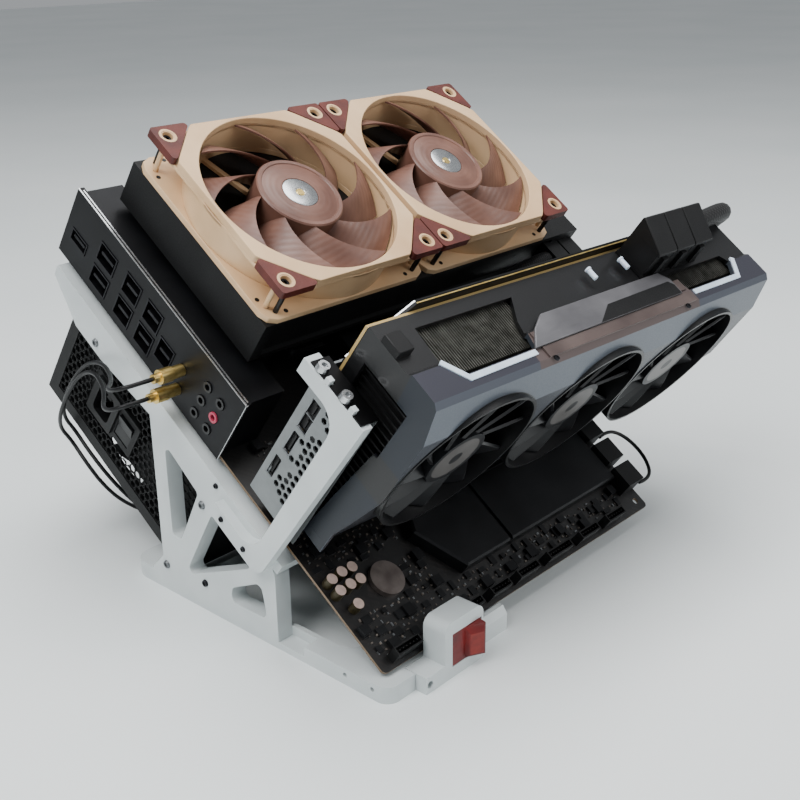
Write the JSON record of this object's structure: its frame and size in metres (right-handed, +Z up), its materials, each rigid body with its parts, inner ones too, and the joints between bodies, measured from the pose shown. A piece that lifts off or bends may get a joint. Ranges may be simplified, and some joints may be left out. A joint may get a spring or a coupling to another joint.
{
  "type": "open air test bench",
  "caption": "Open computer test bench: a slanted motherboard with a liquid cooler, a graphics card, a power supply and two truss sides on a low base.",
  "frame": {"origin": "on the underside of the base's front band, midway between the outer faces of the two truss sides", "axes": "+Z up, -Y towards the front edge with the power switch, +X from the port side towards the far side"},
  "size_m": [0.3699, 0.3233, 0.2593],
  "materials": {
    "frame_white": "smooth satin powder coat",
    "base_white": "smooth satin powder coat",
    "case_black": "fine matt powder coat",
    "socket_black": "matt moulded",
    "rocker_red": "translucent gloss",
    "rocker_black": "gloss",
    "board_dark": "solder mask",
    "shield_dark": "satin",
    "port_steel": "plated",
    "cover_dark": "matt",
    "heatsink_dark": "anodised, fine blast",
    "fin_aluminium": "bare",
    "steel_bright": "nickel plated",
    "brass_gold": "gold plated",
    "fan_beige": "satin moulded",
    "fan_brown": "satin moulded",
    "pad_brown": "matt",
    "radiator_black": "satin",
    "shroud_grey": "satin painted",
    "backplate_dark": "brushed, anodised",
    "fan_black": "satin moulded",
    "strip_pale": "diffusing",
    "trim_brown": "painted satin",
    "cord_black": "satin sheath",
    "cord_grey": "satin sheath"
  },
  "bodies": {
    "bench": {"base_plate": "base_white", "left_truss": "frame_white", "right_truss": "frame_white", "board_tray": "frame_white", "slot_arm": "frame_white", "switch_housing": "frame_white", "psu_case": "case_black", "psu_inlet": "socket_black", "motherboard": "board_dark", "board_posts": "brass_gold", "board_screws": "steel_bright", "io_shield": "shield_dark", "io_ports": "port_steel", "audio_jacks": "socket_black", "antenna_sockets": "brass_gold", "io_cover": "cover_dark", "vrm_heatsink": "heatsink_dark", "cpu_socket": "steel_bright", "memory_slots": "socket_black", "memory_modules": "heatsink_dark", "chipset_plate": "heatsink_dark", "coin_cell": "steel_bright", "capacitors": "steel_bright", "board_headers": "socket_black", "edge_connectors": "socket_black", "pump_block": "socket_black", "radiator": "radiator_black", "fan_frame_left": "fan_beige", "fan_frame_right": "fan_beige", "fan_corner_pads": "pad_brown", "fan_screws": "steel_bright", "card_shroud": "shroud_grey", "card_light_strips": "strip_pale", "card_fins": "fin_aluminium", "card_board": "board_dark", "card_backplate": "backplate_dark", "card_bracket": "steel_bright", "bracket_screws": "steel_bright", "card_trim": "trim_brown", "card_sockets": "socket_black", "card_plugs": "socket_black", "graphics_slot": "socket_black", "frame_screws": "steel_bright", "hose_front": "cord_black", "hose_rear": "cord_black", "graphics_lead": "cord_black", "loop_cable": "cord_grey", "antenna_lead_upper": "cord_black", "antenna_lead_lower": "cord_black", "antenna_coil_upper": "cord_black", "antenna_coil_lower": "cord_black", "antenna_plugs": "brass_gold"},
    "power_rocker_body": {"power_rocker": "rocker_red"},
    "psu_rocker_body": {"psu_rocker": "rocker_black"},
    "psu_fan_rotor_body": {"psu_fan_rotor": "fan_black"},
    "fan_rotor_left_body": {"fan_rotor_left": "fan_brown"},
    "fan_rotor_right_body": {"fan_rotor_right": "fan_brown"},
    "card_fan_1_body": {"card_fan_1": "fan_black"},
    "card_fan_2_body": {"card_fan_2": "fan_black"},
    "card_fan_3_body": {"card_fan_3": "fan_black"}
  },
  "joints": [
    {"name": "power_rocker_tilt", "type": "hinge", "parent": "bench", "child": "power_rocker_body", "pos_m": [-0.037, -0.0238, 0.0156], "axis": [0, 0, 1], "range_deg": [0, 28]},
    {"name": "psu_rocker_tilt", "type": "hinge", "parent": "bench", "child": "psu_rocker_body", "pos_m": [-0.0769, 0.19681, 0.08375], "axis": [0, 0.809, 0.5878], "range_deg": [0, 14]},
    {"name": "psu_fan_rotor_spin", "type": "hinge", "parent": "bench", "child": "psu_fan_rotor_body", "pos_m": [-0.0085, 0.20658, 0.05822], "axis": [0, -0.5878, 0.809], "continuous": true},
    {"name": "fan_rotor_left_spin", "type": "hinge", "parent": "bench", "child": "fan_rotor_left_body", "pos_m": [-0.009, 0.11892, 0.21443], "axis": [0, -0.5878, 0.809], "continuous": true},
    {"name": "fan_rotor_right_spin", "type": "hinge", "parent": "bench", "child": "fan_rotor_right_body", "pos_m": [0.1117, 0.11892, 0.21443], "axis": [0, -0.5878, 0.809], "continuous": true},
    {"name": "card_fan_1_spin", "type": "hinge", "parent": "bench", "child": "card_fan_1_body", "pos_m": [-0.0317, -0.0077, 0.11625], "axis": [0.0262, 0.8087, 0.5876], "continuous": true},
    {"name": "card_fan_2_spin", "type": "hinge", "parent": "bench", "child": "card_fan_2_body", "pos_m": [0.06427, -0.00973, 0.11478], "axis": [0.0262, 0.8087, 0.5876], "continuous": true},
    {"name": "card_fan_3_spin", "type": "hinge", "parent": "bench", "child": "card_fan_3_body", "pos_m": [0.16024, -0.01177, 0.1133], "axis": [0.0262, 0.8087, 0.5876], "continuous": true}
  ]
}
